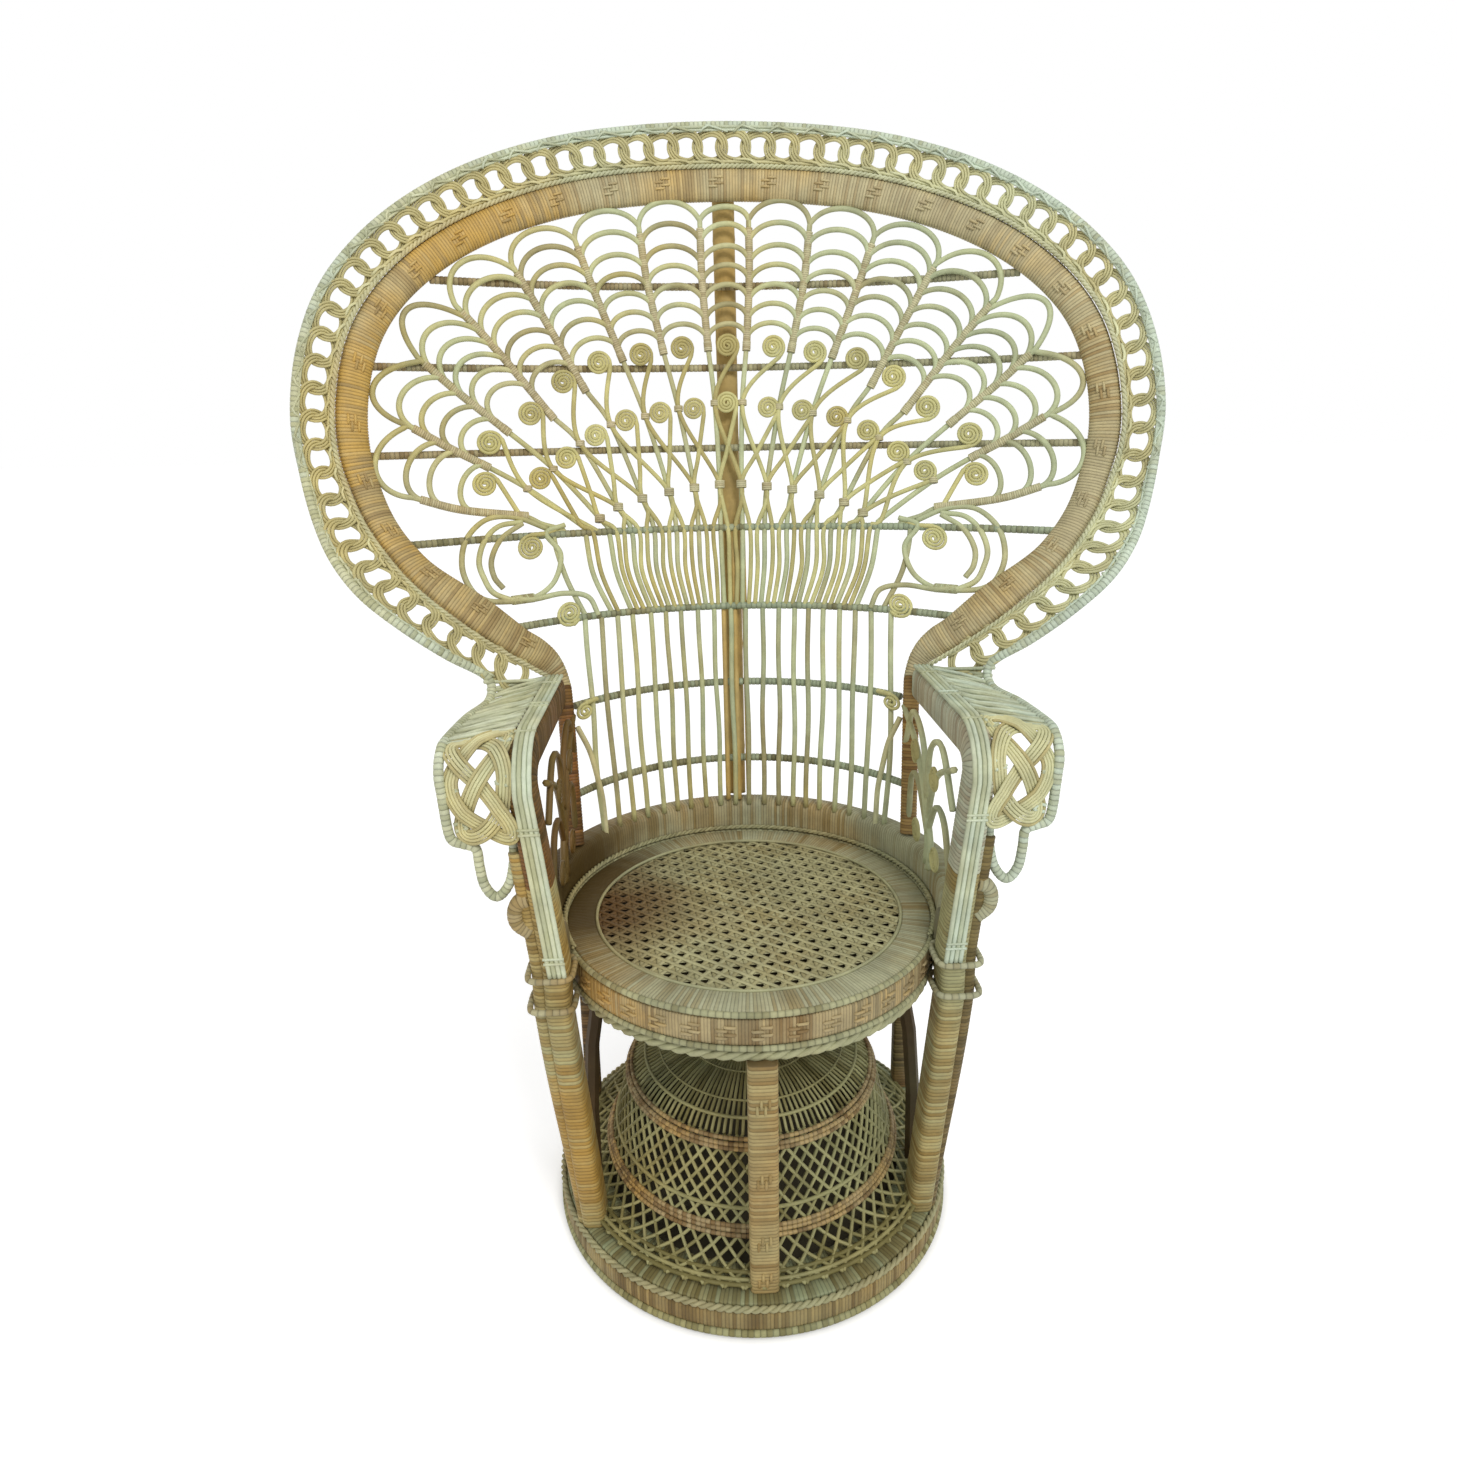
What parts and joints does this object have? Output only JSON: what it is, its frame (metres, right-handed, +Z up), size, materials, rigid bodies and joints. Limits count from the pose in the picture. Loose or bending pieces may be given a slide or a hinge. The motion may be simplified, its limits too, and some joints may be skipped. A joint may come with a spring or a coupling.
{
  "type": "peacock chair",
  "caption": "High-backed round rattan chair with a fan-shaped openwork back in a wide hoop, curved arms and a drum-shaped base.",
  "frame": {"origin": "on the floor, under the middle of the chair's overall box", "axes": "+Z up, -Y the way the sitter faces, X across the chair, from mirror side to mirror side"},
  "size_m": [1.1028, 0.6908, 1.4091],
  "materials": {
    "straw": "dry unvarnished reed",
    "pale": "pale reed with a green tint",
    "wrapped": "flat cane wrapped round a pole",
    "base": "aged wrapped cane",
    "shaded": "aged reed in shade",
    "cane": "woven cane",
    "pole": "varnished bamboo pole"
  },
  "bodies": {
    "root": {"hoop_chain": "straw", "arm_web_left": "straw", "arm_web_right": "straw", "side_scrolls_left": "straw", "side_scrolls_right": "straw", "spindle_comb": "straw", "feather_01": "straw", "feather_02": "straw", "feather_03": "straw", "feather_04": "straw", "feather_05": "straw", "feather_06": "straw", "feather_07": "straw", "feather_08": "straw", "feather_09": "straw", "feather_10": "straw", "feather_11": "straw", "feather_12": "straw", "feather_13": "straw", "feather_14": "straw", "feather_15": "straw", "side_loops_left": "straw", "side_loops_right": "straw", "base_top_cane": "pale", "seat_upper_cane": "pale", "seat_lower_cane": "pale", "seat_rope_edge": "pale", "curb_braid": "pale", "hoop_bead": "pale", "hoop_rim": "pale", "arm_edging_left": "pale", "arm_edging_right": "pale", "front_post": "wrapped", "apron_band": "wrapped", "back_curb": "wrapped", "hoop_band": "wrapped", "arm_frame_left": "wrapped", "arm_frame_right": "wrapped", "base_floor_cane": "base", "base_band": "base", "base_deck": "base", "dome_skirt": "shaded", "rear_post_left": "shaded", "rear_post_right": "shaded", "arch_brace_left": "shaded", "arch_brace_right": "shaded", "seat_frame": "shaded", "seat_cross_bars": "shaded", "back_rail_1": "shaded", "back_rail_2": "shaded", "back_rail_4": "shaded", "back_rail_5": "shaded", "back_rail_6": "shaded", "back_rail_7": "shaded", "seat_rim": "cane", "cane_panel": "cane", "centre_pole": "pole"}
  },
  "joints": []
}
